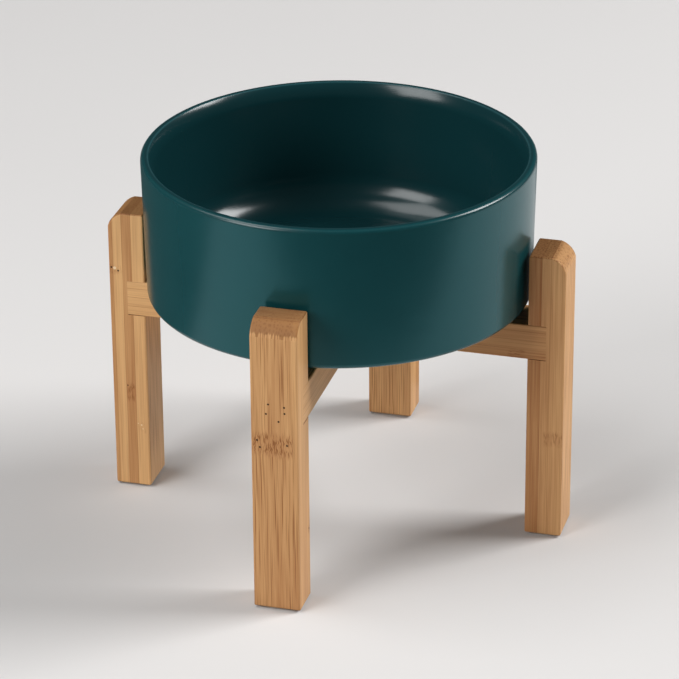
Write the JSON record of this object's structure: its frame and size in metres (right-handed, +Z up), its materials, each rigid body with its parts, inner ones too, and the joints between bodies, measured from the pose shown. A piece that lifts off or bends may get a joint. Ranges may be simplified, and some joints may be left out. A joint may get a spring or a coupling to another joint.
{
  "type": "dog bowl with stand",
  "caption": "Straight-sided glazed ceramic pet bowl that lifts out of a raised bamboo stand of crossed frames with rounded leg tops.",
  "frame": {"origin": "on the floor, below the middle of the bowl", "axes": "+Z up along the bowl's axis, +X towards the right leg, -Y towards the front leg"},
  "size_m": [0.2518, 0.2518, 0.2075],
  "materials": {
    "glaze": "satin deep teal glaze, bare foot ring",
    "bamboo": "sanded laminated bamboo, clear matt finish",
    "dowel_wood": "bare hardwood",
    "foot_pad": "pressed felt, buff"
  },
  "bodies": {
    "lower_frame": {"left_leg": "bamboo", "right_leg": "bamboo", "lower_cross_bar": "bamboo", "left_leg_dowel_1": "dowel_wood", "left_leg_dowel_2": "dowel_wood", "right_leg_dowel_1": "dowel_wood", "right_leg_dowel_2": "dowel_wood", "left_foot_pad": "foot_pad", "right_foot_pad": "foot_pad"},
    "upper_frame": {"front_leg": "bamboo", "back_leg": "bamboo", "upper_cross_bar": "bamboo", "front_leg_dowel_1": "dowel_wood", "front_leg_dowel_2": "dowel_wood", "back_leg_dowel_1": "dowel_wood", "back_leg_dowel_2": "dowel_wood", "front_foot_pad": "foot_pad", "back_foot_pad": "foot_pad"},
    "bowl": {"bowl": "glaze"}
  },
  "joints": [
    {"name": "frame_lift", "type": "slide", "parent": "lower_frame", "child": "upper_frame", "axis": [0, 0, 1], "range_m": [0, 0.07]},
    {"name": "bowl_lift", "type": "slide", "parent": "upper_frame", "child": "bowl", "axis": [0, 0, 1], "range_m": [0, 0.05]}
  ]
}
